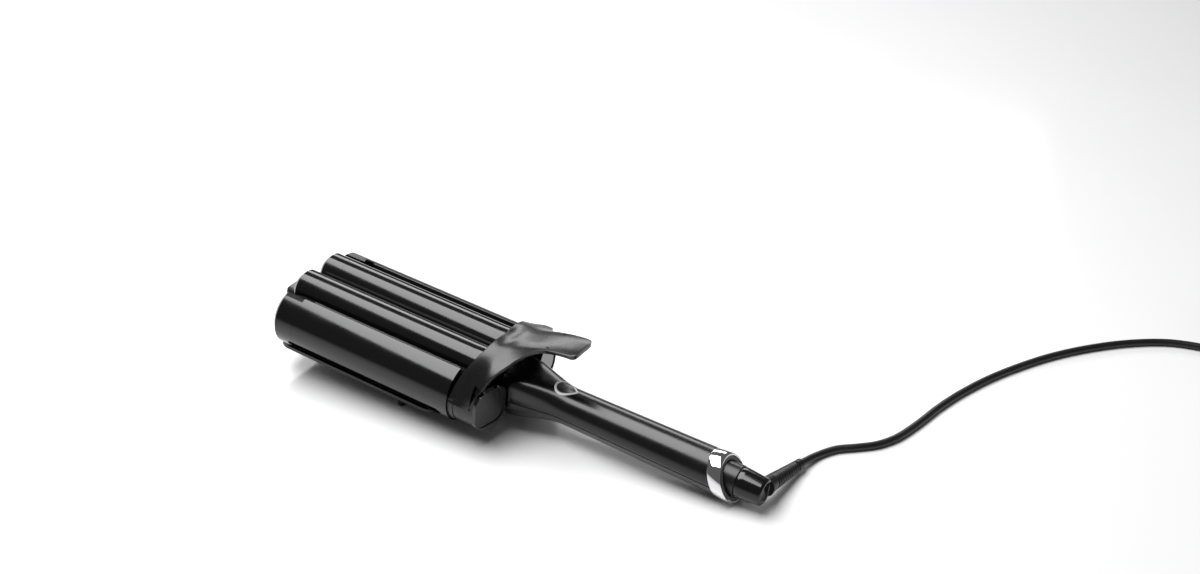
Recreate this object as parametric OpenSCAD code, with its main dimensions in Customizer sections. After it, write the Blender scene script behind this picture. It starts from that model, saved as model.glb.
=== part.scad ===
// Hair waver: a wave iron with three barrels below, two ridged barrels above, a thumb
// lever that opens the upper jaw, and a mains cord on a swivel.
// It rests on two rubber feet under the head and on its metal end collar.
// Stations are distances in millimetres from the collar towards the tip. The tip points
// to -X, the far side is +Y, and heights are measured from the handle's axis.

/* [Attitude] */
// Rise of the handle's axis towards the tip at rest, in degrees
rest_pitch = 4.67; // [3.5:0.01:6]

/* [Head] */
// Station where both jaw casings start
head_rear = 184; // [180:1:190]
// Length of the casings, up to the tip caps
casing_len = 127; // [100:1:155]
// Length of the tip caps
tip_len = 17; // [14:1:22]
// Bevel around the end of the tip caps
tip_bevel = 3; // [1.5:0.5:4]
// How far the rounded nose stands out past the tip caps
nose_len = 15; // [8:1:18]
// Radius of the lower jaw's rounded sides
side_r = 20.7; // [19:0.1:23]
// Distance from the middle to the centre of each rounded side
side_y = 26.3; // [24:0.1:30]
// Height of those centres over the handle's axis
side_z = -0.9; // [-3:0.1:1]
// Depth of the flat underside below the handle's axis
under_depth = 20.6; // [18:0.1:21]
// Wall thickness of the jaw casings
casing_wall = 2.6; // [2:0.1:3.2]

/* [Hot plates] */
// Distance between the lower barrels
wave_pitch = 27; // [24:0.5:30]
// Radius of each rounded wave
wave_r = 7.5; // [7:0.1:9]
// Height of the middle of the wave over the handle's axis
wave_z = 1.8; // [0:0.1:3]
// Height of the gap left between the closed plates
jaw_gap = 0.8; // [0.7:0.1:1.5]
// Thickness of the plates, measured upright
plate_t = 1.8; // [1.4:0.1:2.2]
// Height of the lower plate's side rims over the handle's axis
rim_top = 19.2; // [18:0.1:20]
// Thickness of those rims
rim_t = 1.2; // [0.8:0.1:1.6]

/* [Upper jaw] */
// Half the width of the upper jaw
upper_half = 30.2; // [29:0.1:31]
// Radius of the two ridges
ridge_r = 12.9; // [12:0.1:13.2]
// Height of the ridges' centres over the handle's axis
ridge_z = 13.3; // [12:0.1:14]
// Height of the valley floor between the ridges
valley_z = 14; // [12.5:0.1:16]
// Wall of the upper casing
upper_wall = 2; // [1.6:0.1:2.6]

/* [Hinge] */
// Station of the hinge pins
hinge_s = 167; // [165:0.5:168]
// Height of the hinge pins over the handle's axis
hinge_z = 4; // [3:0.5:5]
// Diameter of the hinge pins
pin_d = 4; // [3:0.5:5]
// Largest opening of the jaws, in degrees
open_deg = 18; // [8:1:20]

/* [Thumb lever] */
// Station of the end of the thumb tab
tab_end = 113.5; // [108:0.5:120]
// Half the width of the thumb tab
tab_half = 12; // [9:0.5:14]
// Thickness of the lever's moulding
lever_t = 3.4; // [2.8:0.1:4]

/* [Handle] */
// Radius of the handle next to the collar
grip_r = 14; // [12.5:0.1:14.5]
// Radius of the handle at the front of its round part
grip_front_r = 12.5; // [11.5:0.1:13.5]
// Station of the front end of the neck
neck_front = 162.4; // [159:0.2:163]
// Half the width of the neck at its front
neck_half = 18.2; // [16:0.1:18.3]
// Height of the seam between the handle's halves over its axis
seam_z = -2.5; // [-4:0.1:0]
// Wall thickness of the handle
grip_wall = 2.6; // [2:0.1:3]
// Station of the power button
button_s = 121; // [110:1:125]

/* [Collar and swivel] */
// Outer radius of the metal collar
collar_r = 14.6; // [14.1:0.1:15.5]
// Length of the collar along the axis
collar_len = 9; // [7:0.5:12]
// Slope of the collar's oblique faces, in degrees
collar_tilt = 26.6; // [0:0.1:30]
// Radius of the swivel's shaft
shaft_r = 10.4; // [8:0.1:11]
// Radial running clearance around the shaft
shaft_play = 0.06; // [0.03:0.01:0.1]
// Station of the end of the swivelling housing
swivel_end = -22.5; // [-28:0.5:-20]
// Length of the ribbed strain relief
relief_len = 32; // [24:1:45]

/* [Cord] */
// Diameter of the mains cord
cord_d = 5; // [4.5:0.1:5.4]
// Diameter of the coil at the middle of its turns
coil_d = 58; // [55:1:62]

/* [Hidden] */
$fn = 64;

// Small gap between pieces that are pushed or glued together
fit = 0.1;
// Gap between pieces that move past each other
clear = 0.4;
big = 400;

casing_end = head_rear + casing_len;
tip_end = casing_end + tip_len;
nose_end = tip_end + nose_len;

// Rear face of the collar: station at the axis, moved along by the tilt at other heights
collar_rear = 1.2;
collar_slope = tan(collar_tilt);
collar_front = collar_rear + collar_len;
// The collar's lowest edge touches the surface that the waver lies on
axis_z = collar_r * cos(rest_pitch)
    + (collar_r * collar_slope - collar_rear) * sin(rest_pitch);

// ---------------------------------------------------------------- placing helpers

// The waver's ends at rest, measured from the collar along the floor
far_end_x = -nose_end * cos(rest_pitch) - (under_depth - 10) * sin(rest_pitch);
near_end_x = 25;
// Shift that brings the origin under the middle of the waver
mid_x = -(far_end_x + near_end_x) / 2;

// Measures from the floor under the collar
module from_collar() {
    translate([mid_x, 0, 0]) children();
}

// Puts the waver, which is drawn with its axis along X, into its resting attitude
module at_rest() {
    from_collar() translate([0, 0, axis_z]) rotate([0, rest_pitch, 0]) children();
}

// Extrudes a Y-Z outline between two stations
module along(s0, s1) {
    translate([-s1, 0, 0]) rotate([90, 0, 90]) linear_extrude(s1 - s0) children();
}

// Extrudes an outline drawn in station and height across the head, from y0 to y1
module across(y0, y1) {
    translate([0, y0, 0]) mirror([1, 0, 0]) rotate([90, 0, 0]) mirror([0, 0, 1])
        linear_extrude(y1 - y0) children();
}

// Extrudes an outline drawn in station and side distance between two heights
module upright(z0, z1) {
    translate([0, 0, z0]) mirror([1, 0, 0]) linear_extrude(z1 - z0) children();
}

// A cylinder along the axis between two stations
module rod(s0, s1, r) {
    translate([-s1, 0, 0]) rotate([0, 90, 0]) cylinder(h = s1 - s0, r = r);
}

// A cylinder across the head at a station and height
module cross_rod(s, z, y0, y1, r) {
    translate([-s, y0, z]) rotate([-90, 0, 0]) cylinder(h = y1 - y0, r = r);
}

module both_sides() {
    children();
    mirror([0, 1, 0]) children();
}

// A rectangle with round corners, from one corner point to the other
module round_rect(a, b, r) {
    translate([a[0] + r, a[1]]) square([b[0] - a[0] - 2 * r, b[1] - a[1]]);
    translate([a[0], a[1] + r]) square([b[0] - a[0], b[1] - a[1] - 2 * r]);
    for (x = [a[0] + r, b[0] - r], y = [a[1] + r, b[1] - r])
        translate([x, y]) circle(r);
}

// The half space behind a plane parallel to the collar's faces, through station s
module behind_oblique(s) {
    translate([-s, 0, 0]) rotate([0, collar_tilt, 0])
        translate([0, -big / 2, -big / 2]) cube([big, big, big]);
}

// ---------------------------------------------------------------- wave profile

wave_cos = sqrt(wave_r * wave_r - wave_pitch * wave_pitch / 16);
wave_rise = wave_r - wave_cos;
wave_steps = 24;

// Height of the parting wave at a side distance: round crests at the barrels, round
// troughs between them, and level outside the outer crests
function wave(y) =
    let (
        outer = abs(y) > wave_pitch,
        phase = abs(y) / wave_pitch,
        u = (phase - round(phase)) * wave_pitch,
        v = abs(u) - wave_pitch / 2
    )
    outer ? wave_z + wave_rise
    : abs(u) <= wave_pitch / 4
        ? wave_z + sqrt(wave_r * wave_r - u * u) - wave_cos
        : wave_z - sqrt(wave_r * wave_r - v * v) + wave_cos;

// Points along the wave, lifted, from one side distance to the other
function wave_line(half, lift) =
    let (
        step = wave_pitch / wave_steps,
        n = floor(half / step),
        ys = [for (i = [-n:n]) i * step]
    )
    concat(
        [[-half, wave(half) + lift]],
        [for (y = ys) if (abs(y) < half - 0.01) [y, wave(y) + lift]],
        [[half, wave(half) + lift]]
    );

function reversed(points) = [for (i = [len(points) - 1:-1:0]) points[i]];

crest_z = wave_z + wave_rise;
rim_in = upper_half + 0.5;
rim_out = rim_in + rim_t;
upper_lift = jaw_gap;
shell_lift = jaw_gap + plate_t + fit;

// Everything above the lifted wave
module above_wave(half, lift) {
    polygon(concat(wave_line(half, lift), [[half, 60], [-half, 60]]));
}

// ---------------------------------------------------------------- lower jaw

crest_in = rim_out + fit;

// Outline of the lower jaw, drawn in by g
module lower_outline(g = 0) {
    intersection() {
        union() {
            for (m = [-1, 1])
                translate([m * side_y, side_z]) circle(side_r - g, $fn = 96);
            translate([-side_y, -under_depth - 5])
                square([2 * side_y, under_depth + 5 + side_z + side_r - g]);
        }
        translate([-60, -under_depth + g]) square([120, 60]);
    }
}

slot_s0 = head_rear + 6;
slot_s1 = casing_end + 5;
slot_w = 7;
slot_depth = 1.5;
slot_angle = 212;

// The long recess with round ends low on each side
module side_slots() {
    both_sides()
        translate([0, side_y, side_z])
            rotate([180 - slot_angle, 0, 0])
                translate([0, side_r - slot_depth, 0])
                    rotate([-90, 0, 0])
                        upright(0, 10)
                            round_rect([slot_s0, -slot_w / 2], [slot_s1, slot_w / 2], slot_w / 2 - 0.01);
}

heater_w = 7;
heater_t = 3;
ledge_t = 1.6;
ledge_in = wave_pitch + heater_w / 2 + clear;

module lower_casing() {
    color([0.07, 0.07, 0.08])
    at_rest()
    difference() {
        union() {
            along(head_rear, casing_end) {
                difference() {
                    lower_outline();
                    lower_outline(casing_wall);
                    translate([-crest_in, -5]) square([2 * crest_in, 60]);
                }
                intersection() {
                    lower_outline(casing_wall / 2);
                    for (m = [0, 1]) mirror([m, 0])
                        translate([ledge_in, crest_z - plate_t - fit - ledge_t])
                            square([20, ledge_t]);
                }
            }
            at_cover_screws()
                translate([0, 0, cover_t + cover_step + 1]) cylinder(h = boss_h, r = boss_r);
        }
        side_slots();
        at_cover_screws() translate([0, 0, -1]) cylinder(h = screw_len + 1.5, r = screw_r + fit);
    }
}

// The body of the lower jaw near its tip, with a bevel all round its end
module bevelled_end(g) {
    end = tip_end - g;
    intersection() {
        union() {
            both_sides() {
                translate([0, side_y, side_z]) {
                    rod(casing_end - 1, end - tip_bevel, side_r - g, $fn = 96);
                    translate([-end, 0, 0]) rotate([0, 90, 0])
                        cylinder(h = tip_bevel, r1 = side_r - g - tip_bevel, r2 = side_r - g, $fn = 96);
                }
            }
            across(-side_y, side_y)
                polygon([
                    [casing_end - 1, -under_depth + g],
                    [end - tip_bevel, -under_depth + g],
                    [end, -under_depth + g + tip_bevel],
                    [end, side_z + side_r - g - tip_bevel],
                    [end - tip_bevel, side_z + side_r - g],
                    [casing_end - 1, side_z + side_r - g]
                ]);
        }
        upright(-under_depth + g, 60)
            translate([casing_end - 1, -60]) square([80, 120]);
    }
}

nose_half = 19;
nose_r = 24;
nose_top = 10;
tip_floor = 2.4;

// The rounded nose in the middle of the lower jaw's tip
module nose(g) {
    intersection() {
        along(casing_end, nose_end)
            translate([0, nose_top - nose_r]) circle(nose_r - g, $fn = 96);
        upright(-under_depth + 2, 60)
            round_rect([casing_end - 20, -nose_half + g], [nose_end - g, nose_half - g], 9);
        across(-60, 60)
            round_rect([casing_end - 20, -under_depth + 3], [nose_end, nose_top], 7);
    }
}

module lower_tip_cap() {
    color([0.05, 0.05, 0.06])
    at_rest()
    difference() {
        union() {
            intersection() {
                bevelled_end(0);
                along(casing_end + fit, tip_end + 1) difference() {
                    square([120, 80], center = true);
                    above_wave(rim_in, 0);
                    translate([-60, crest_z + 11.8]) square([120, 40]);
                }
            }
            difference() {
                intersection() {
                    nose(0);
                    along(tip_end - 4, nose_end + 1) square([80, 60], center = true);
                }
                along(tip_end - 5, tip_end + clear) above_wave(rim_in, 0);
            }
        }
        intersection() {
            bevelled_end(casing_wall);
            along(casing_end - 1, tip_end) difference() {
                square([120, 80], center = true);
                above_wave(rim_in + tip_floor, -tip_floor);
                translate([-60, crest_z]) square([120, 40]);
            }
        }
        side_slots();
    }
}

cover_t = 2.3;
cover_step = 0.9;
cover_s0 = head_rear + 16;
cover_s1 = tip_end + 5;
cover_half = 36.5;
cover_z = -under_depth - cover_step;
screw_s = [head_rear + 30, casing_end - 12];
screw_y = 22;
screw_head_r = 3;
screw_head_t = 1.4;
screw_r = 1.5;
screw_len = 12;

// Places for the screws that hold the bottom cover
module at_cover_screws() {
    for (s = screw_s, m = [-1, 1])
        translate([-s, m * screw_y, cover_z - cover_t]) children();
}

module bottom_cover() {
    color([0.09, 0.09, 0.1])
    at_rest()
    difference() {
        union() {
            upright(cover_z - cover_t, cover_z)
                round_rect([cover_s0, -cover_half], [cover_s1, cover_half], 10);
            upright(cover_z, -under_depth - fit / 2)
                round_rect([cover_s0 + 4, -cover_half + 4], [tip_end - 4, cover_half - 4], 6);
        }
        at_cover_screws() {
            translate([0, 0, -1]) cylinder(h = 20, r = screw_r + fit);
            translate([0, 0, -1]) cylinder(h = 1 + screw_head_t + fit, r = screw_head_r + fit);
        }
    }
}

// A pan-head screw pointing up, with a cross recess
module screw(len, r, head_r, head_t) {
    difference() {
        union() {
            cylinder(h = head_t, r = head_r, $fn = 32);
            cylinder(h = len, r = r, $fn = 32);
        }
        for (a = [0, 90])
            rotate([0, 0, a]) translate([-head_r * 0.6, -0.3, -1]) cube([head_r * 1.2, 0.6, 1.7]);
    }
}

boss_r = 3.2;
boss_h = 9;

module cover_screws() {
    color([0.35, 0.35, 0.37])
    at_rest() at_cover_screws() screw(screw_len, screw_r, screw_head_r, screw_head_t);
}

foot_s = 235;
foot_y = 28;
foot_r = 2.5;
foot_top = cover_z - cover_t - fit / 2;

// Upright rubber feet whose tops meet the sloping cover
module rest_feet() {
    color([0.04, 0.04, 0.04])
    intersection() {
        from_collar() both_sides()
            translate([-foot_s * cos(rest_pitch), foot_y, 0]) {
                cylinder(h = 1, r1 = foot_r - 0.6, r2 = foot_r);
                translate([0, 0, 1]) cylinder(h = 30, r = foot_r);
            }
        at_rest() translate([-big, -big / 2, foot_top - big]) cube([big, big, big]);
    }
}

module lower_hot_plate() {
    color([0.16, 0.15, 0.16])
    at_rest()
    along(head_rear + 1, casing_end - 8)
        polygon(concat(
            [[-rim_out, crest_z - plate_t], [-rim_out, rim_top], [-rim_in, rim_top]],
            wave_line(rim_in, 0),
            [[rim_in, rim_top], [rim_out, rim_top], [rim_out, crest_z - plate_t]],
            reversed(wave_line(rim_in, -plate_t))
        ));
}

heater_s0 = head_rear + 12;
heater_s1 = casing_end - 16;
// Top of the heater bars, just under the plate at the bars' edges
lower_heater_z = wave(heater_w / 2) - plate_t - fit;

module lower_heaters() {
    color([0.82, 0.8, 0.74])
    at_rest()
    along(heater_s0, heater_s1)
        for (y = [-wave_pitch, 0, wave_pitch])
            translate([y - heater_w / 2, lower_heater_z - heater_t]) square([heater_w, heater_t]);
}

carrier_s = [heater_s0 + 4, (heater_s0 + heater_s1) / 2, heater_s1 - 4];

// Cross ribs that hold the lower heaters up from the casing's floor
module heater_carrier() {
    top = lower_heater_z - heater_t - fit;
    shoulder = wave_z - wave_rise - plate_t - clear;
    color([0.75, 0.73, 0.66])
    at_rest() {
        for (s = carrier_s)
            along(s - 1.5, s + 1.5) {
                intersection() {
                    lower_outline(casing_wall + fit);
                    translate([-34, -40]) square([68, 40 + shoulder]);
                }
                for (y = [-wave_pitch, 0, wave_pitch])
                    translate([y - heater_w / 2, shoulder - 1]) square([heater_w, top - shoulder + 1]);
            }
        along(carrier_s[0] - 1, carrier_s[2] + 1)
            translate([-14, -under_depth + casing_wall + fit + 0.3]) square([28, 1.6]);
    }
}

// ---------------------------------------------------------------- rear of the head

yoke_wall = 4;
ear_in = 26.4;
ear_top = hinge_z + 0.6;
ear_depth = 14;
cap_in = 19.2;
cap_out = 46.5;
cap_half_z = 14;
cap_t = 2.6;
cap_yaw = 10;
cap_s = 161.4;
cap_corner = 9;
cap_mid = (cap_in + cap_out) / 2;

// Moves to the front face of an end cap, whose outer edge is turned towards the tip
module at_cap() {
    translate([-cap_s, cap_mid, 0]) rotate([0, 0, cap_yaw]) translate([cap_s, -cap_mid, 0])
        children();
}

spigot_half = 14;
spigot_top = 7.5;
spigot_bottom = -13;
spigot_s = 150;
spring_y0 = ear_in + 0.6;
spring_y1 = ear_in + 8.4;
spring_r = 3.2;
wire_r = 0.5;

// One ear of the yoke, cut square to its end cap and bored for the pin and its spring
module yoke_ear() {
    difference() {
        along(cap_s - 8, head_rear - fit - 1)
            intersection() {
                translate([side_y, side_z]) circle(side_r - 1.6, $fn = 96);
                translate([ear_in, -ear_depth]) square([40, ear_depth + ear_top]);
            }
        at_cap() translate([-cap_s - fit, -60, -40]) cube([80, 160, 80]);
        cross_rod(hinge_s, hinge_z, ear_in - 1, 40, pin_d / 2 + 0.05);
        cross_rod(hinge_s, hinge_z, spring_y0 - 0.2, spring_y1 + 0.4, spring_r + wire_r + 0.4);
    }
}

// The fixed yoke: a wall behind the lower casing, an ear on each side that carries a
// hinge pin, and a spigot that the handle's halves close around
module hinge_yoke() {
    color([0.06, 0.06, 0.07])
    at_rest()
    difference() {
        union() {
            along(head_rear - fit - yoke_wall, head_rear - fit)
                difference() {
                    lower_outline(1.2);
                    translate([-60, ear_top - 0.8]) square([120, 60]);
                }
            both_sides() yoke_ear();
            along(spigot_s, head_rear - fit - 1)
                round_rect([-spigot_half, spigot_bottom], [spigot_half, spigot_top], 4);
        }
        rod(spigot_s - 1, head_rear + 1, 5);
    }
}

// A shallow-dished cover with a raised rim on the rear end of an ear
module end_cap() {
    color([0.1, 0.1, 0.11])
    at_rest()
    at_cap()
    difference() {
        along(cap_s - cap_t, cap_s)
            round_rect([cap_in, -cap_half_z], [cap_out, cap_half_z], cap_corner);
        along(cap_s - cap_t - 1, cap_s - cap_t + 0.6)
            round_rect([cap_in + 1.4, -cap_half_z + 1.4], [cap_out - 1.4, cap_half_z - 1.4], cap_corner - 1.4);
    }
}

module far_end_cap() {
    end_cap();
}

module near_end_cap() {
    mirror([0, 1, 0]) end_cap();
}

lug_in = 19.6;
lug_out = ear_in - clear;

module hinge_pins() {
    color([0.7, 0.7, 0.72])
    at_rest()
    both_sides() cross_rod(hinge_s, hinge_z, lug_in + 0.5, 39.6, pin_d / 2);
}

spring_turns = 3.5;
spring_steps = 14;

// A torsion spring around each hinge pin, in the pocket of its ear
module hinge_springs() {
    pitch = (spring_y1 - spring_y0 - 2 * wire_r) / spring_turns;
    path = [
        for (i = [0:spring_turns * spring_steps])
            let (a = 360 * i / spring_steps)
            [
                spring_r * cos(a) - hinge_s,
                spring_y0 + wire_r + pitch * i / spring_steps,
                spring_r * sin(a) + hinge_z
            ]
    ];
    color([0.6, 0.6, 0.62])
    at_rest() both_sides() tube(path, wire_r, 6, [0, 1, 0]);
}

// ---------------------------------------------------------------- swept tubes

function unit(v) = v / norm(v);

// Direction of a path at one of its points
function heading(path, i) =
    unit(path[min(i + 1, len(path) - 1)] - path[max(i - 1, 0)]);

// Corners of one ring of a tube
function tube_ring(path, i, r, sides, up) =
    let (
        t = heading(path, i),
        side = unit(cross(up, t)),
        top = cross(t, side)
    )
    [for (k = [0:sides - 1])
        let (a = 360 * (k + 0.5) / sides)
        path[i] + r * (cos(a) * side + sin(a) * top)];

// A closed tube of triangles along a path
module tube(path, r, sides, up = [0, 0, 1]) {
    n = len(path);
    points = [for (i = [0:n - 1]) each tube_ring(path, i, r, sides, up)];
    walls = [
        for (i = [0:n - 2], k = [0:sides - 1])
            let (
                a = i * sides + k,
                b = i * sides + (k + 1) % sides
            )
            each [[a, a + sides, b], [b, a + sides, b + sides]]
    ];
    end = (n - 1) * sides;
    first = [for (k = [1:sides - 2]) [0, k, k + 1]];
    last = [for (k = [1:sides - 2]) [end, end + k + 1, end + k]];
    polyhedron(points, concat(walls, first, last));
}

// ---------------------------------------------------------------- upper jaw

ridge_y = wave_pitch / 2;
band_y = upper_half - 4.4;
band_low = 11.5;
band_high = 14.2;

// Outline of the upper jaw between and beside its two ridges
module upper_body() {
    polygon([
        [-upper_half, -10], [-upper_half, band_high], [-band_y, band_low],
        [-ridge_y, band_low], [-3, valley_z], [3, valley_z], [ridge_y, band_low],
        [band_y, band_low], [upper_half, band_high], [upper_half, -10]
    ]);
}

heater_room = 7.6;

module upper_casing() {
    s0 = head_rear + 0.5;
    color([0.06, 0.06, 0.07])
    at_rest()
    difference() {
        intersection() {
            union() {
                for (m = [-1, 1]) translate([0, m * ridge_y, ridge_z]) rod(s0, casing_end, ridge_r, $fn = 96);
                along(s0, casing_end) upper_body();
            }
            along(s0 - 1, casing_end + 1) above_wave(upper_half + 1, shell_lift);
        }
        for (m = [-1, 1]) {
            translate([0, m * ridge_y, ridge_z]) rod(s0 - 1, casing_end + 1, ridge_r - upper_wall, $fn = 96);
            along(s0 - 1, casing_end + 1)
                translate([m * ridge_y - heater_room, -10]) square([2 * heater_room, 10 + ridge_z]);
        }
    }
}

cap_plan_r = 9;

// The ridges with bevelled ends, and the flat body between and beside them
module upper_bevelled_end() {
    for (m = [-1, 1])
        translate([-casing_end, m * ridge_y, ridge_z]) rotate([0, -90, 0])
            rotate_extrude($fn = 96)
                polygon([
                    [0, 0], [ridge_r, 0], [ridge_r, tip_len - tip_bevel],
                    [ridge_r - tip_bevel, tip_len], [0, tip_len]
                ]);
    along(casing_end, tip_end - 1) upper_body();
}

module upper_tip_cap() {
    color([0.05, 0.05, 0.06])
    at_rest()
    difference() {
        intersection() {
            upper_bevelled_end();
            along(casing_end + fit, tip_end + 1) above_wave(upper_half, jaw_gap);
            upright(-20, 60)
                round_rect([casing_end - 40, -upper_half], [tip_end, upper_half], cap_plan_r);
        }
        for (m = [-1, 1])
            translate([0, m * ridge_y, ridge_z])
                rod(casing_end - 1, tip_end - 4, ridge_r - upper_wall - 0.6);
    }
}

module upper_hot_plate() {
    half = upper_half - 0.3;
    color([0.16, 0.15, 0.16])
    at_rest()
    along(head_rear + 1, casing_end - 1)
        polygon(concat(
            wave_line(half, upper_lift),
            reversed(wave_line(half, upper_lift + plate_t))
        ));
}

upper_heater_z = wave(ridge_y + heater_w / 2) + shell_lift;

module upper_heaters() {
    color([0.82, 0.8, 0.74])
    at_rest()
    along(heater_s0, heater_s1)
        for (m = [-1, 1])
            translate([m * ridge_y - heater_w / 2, upper_heater_z]) square([heater_w, heater_t]);
}

// ---------------------------------------------------------------- jaw carrier

deck_z = crest_z + shell_lift + 0.4;
deck_t = 3;
deck_s0 = hinge_s - 0.5;
deck_s1 = head_rear + 0.4;
lug_r = 4.4;
tongue_len = 18;
tongue_half = 8;
post_s = 169.6;
post_y = 10;
post_r = 3;

// Carries the upper casing and the lever, and hangs on the hinge pins by two lugs
module jaw_carrier() {
    color([0.08, 0.08, 0.09])
    at_rest()
    difference() {
        union() {
            upright(deck_z, deck_z + deck_t)
                translate([deck_s0, -lug_out]) square([deck_s1 - deck_s0, 2 * lug_out]);
            both_sides() {
                cross_rod(hinge_s, hinge_z, lug_in, lug_out, lug_r);
                across(lug_in, lug_out)
                    polygon([
                        [hinge_s - 1, hinge_z], [hinge_s + 1, hinge_z - lug_r + 0.2],
                        [hinge_s + 4, hinge_z - 2], [deck_s1 - 5, deck_z + 0.5],
                        [deck_s1 - 5, deck_z + deck_t - 0.3],
                        [deck_s0 + 0.3, deck_z + deck_t - 0.3], [deck_s0 + 0.3, hinge_z]
                    ]);
            }
            for (m = [-1, 1]) {
                translate([-post_s, m * post_y, deck_z + 0.5])
                    cylinder(h = arch_inner_z(post_y + post_r) - deck_z - fit - 0.5, r = post_r);
                upright(deck_z + 0.3, deck_z + deck_t - 0.3)
                    translate([deck_s1 - 6, m * ridge_y - tongue_half])
                        square([tongue_len + 6, 2 * tongue_half]);
            }
        }
        both_sides()
            cross_rod(hinge_s, hinge_z, lug_in - 1, lug_out + 1, pin_d / 2 + 0.05);
        for (m = [-1, 1]) translate([-post_s, m * post_y, deck_z - 1]) {
            cylinder(h = 40, r = screw_r + fit);
            cylinder(h = 1 + screw_head_t + fit, r = screw_head_r + fit);
        }
    }
}

module lever_screws() {
    color([0.35, 0.35, 0.37])
    at_rest()
    for (m = [-1, 1]) translate([-post_s, m * post_y, deck_z])
        screw(arch_inner_z(post_y + post_r) - deck_z - 0.6, screw_r, screw_head_r, screw_head_t);
}

// ---------------------------------------------------------------- thumb lever

arch_top = 36;
arch_r = 21;
arch_y = 10.5;
leg_bottom = ear_top + 1;

// Height of the underside of the arch at a side distance
function arch_inner_z(y) =
    arch_top - arch_r + sqrt(pow(arch_r - lever_t, 2) - pow(max(y - arch_y, 0), 2));

// Outline of the arch across the head, drawn in by g
module arch_outline(g) {
    for (m = [-1, 1]) {
        translate([m * side_y, side_z]) circle(side_r - g, $fn = 96);
        translate([m * arch_y, arch_top - arch_r]) circle(arch_r - g, $fn = 96);
    }
    translate([-arch_y, 0]) square([2 * arch_y, arch_top - g]);
    translate([-side_y, -5]) square([2 * side_y, 10]);
}

// Side outline of the arch, in station and height
arch_side = [
    [head_rear - 0.4, leg_bottom], [head_rear - 0.6, 12], [head_rear - 2, 20],
    [head_rear - 6, 22.5], [head_rear - 9.5, 29], [head_rear - 11, 33], [head_rear - 13, 40],
    [146, 40], [149, 34], [152.5, 31], [157, 26.5], [160.5, 21], [162.6, 14.5],
    [164, 9], [165.4, leg_bottom]
];

tab_rise = 12;

// Height of the tab's top along its length: an S-curve that rises from the arch
function tab_z(s) =
    let (k = min(1, max(0, (168 - s) / (168 - tab_end))))
    arch_top - 0.2 + tab_rise * (1 - pow(1 - k, 2.2)) * (0.55 + 0.45 * k);

tab_stations = [for (i = [0:16]) 172 - (172 - tab_end) * i / 16];

module thumb_lever() {
    color([0.1, 0.1, 0.11])
    at_rest()
    difference() {
        union() {
            intersection() {
                along(140, head_rear + 1) difference() {
                    arch_outline(0);
                    arch_outline(lever_t);
                }
                across(-60, 60) polygon(arch_side);
            }
            intersection() {
                across(-tab_half - 4, tab_half + 4)
                    polygon(concat(
                        [for (s = tab_stations) [s, tab_z(s)]],
                        [for (s = reversed(tab_stations)) [s, tab_z(s) - lever_t]]
                    ));
                upright(20, 80) {
                    round_rect([tab_end, -tab_half], [tab_end + 50, tab_half], 4.5);
                    polygon([
                        [140, -tab_half], [147, -tab_half - 1.5], [152, -tab_half - 4],
                        [172, -tab_half - 4], [172, tab_half + 4], [152, tab_half + 4],
                        [147, tab_half + 1.5], [140, tab_half]
                    ]);
                }
            }
        }
        hinge_clearance(20, 50, 13.4);
    }
}

// Room for the end caps to pass inside the arch as it turns
module hinge_clearance(y0, y1, r) {
    limit = 106 - open_deg;
    both_sides()
        across(y0, y1)
            intersection() {
                translate([hinge_s, hinge_z]) circle(r);
                translate([hinge_s, hinge_z])
                    polygon([
                        [0, 0], [30 * cos(limit), 30 * sin(limit)],
                        [-30, 30], [-30, -20], [0, -20]
                    ]);
            }
}

// ---------------------------------------------------------------- handle

neck_rear = 118;
ring_points = 48;

// Share of the neck's flare at a station, from 0 in the round grip to 1 at the front
function flare(s) =
    let (k = min(1, max(0, (s - neck_rear) / (neck_front - 3 - neck_rear))))
    k * k * (3 - 2 * k);

function grip_radius(s) =
    grip_r + (grip_front_r - grip_r) * min(1, (s - collar_front) / (neck_rear - collar_front));

function mix(a, b, k) = a + (b - a) * k;

function signed_power(v, p) = sign(v) * pow(abs(v), p);

neck_top = 15.4;
neck_bottom = 16.4;

// One ring of the handle's skin: round in the grip, squarer and wider in the neck
function handle_ring(s) =
    let (
        k = flare(s),
        r = grip_radius(s),
        p = 2 / mix(2, 4, k)
    )
    [for (i = [0:ring_points - 1])
        let (
            a = 360 * i / ring_points,
            c = signed_power(cos(a), p),
            h = signed_power(sin(a), p)
        )
        [-s, mix(r, neck_half, pow(k, 1.3)) * c,
            mix(r, h > 0 ? neck_top : neck_bottom, h > 0 ? k : pow(k, 1.6)) * h]];

handle_stations = concat(
    [-10, neck_rear],
    [for (i = [1:14]) neck_rear + (neck_front - neck_rear) * i / 14]
);

// A closed body through a list of rings
module loft(rings) {
    n = len(rings);
    m = len(rings[0]);
    points = [for (r = rings) each r];
    walls = [
        for (i = [0:n - 2], k = [0:m - 1])
            let (
                a = i * m + k,
                b = i * m + (k + 1) % m
            )
            each [[a, b, a + m], [b, b + m, a + m]]
    ];
    first = [[for (k = [m - 1:-1:0]) k]];
    last = [[for (k = [0:m - 1]) (n - 1) * m + k]];
    polyhedron(points, concat(walls, first, last));
}

cavity_r = 9.6;
board_z = seam_z - 0.2;
rib_w = 2;

// The handle's skin with its hollow, its oblique rear end and the button's hole
module handle_body() {
    difference() {
        loft([for (s = handle_stations) handle_ring(s)]);
        behind_oblique(collar_front + fit);
        rod(20, spigot_s - 4, cavity_r);
        rod(-10, 21, shaft_r + 1.8);
        along(spigot_s - 5, neck_front + 1)
            round_rect([-spigot_half - fit, spigot_bottom - fit], [spigot_half + fit, spigot_top + fit], 4);
    }
}

handle_screw_s = [31, 144];
handle_screw_len = 15;
handle_boss_r = 3.8;

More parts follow.
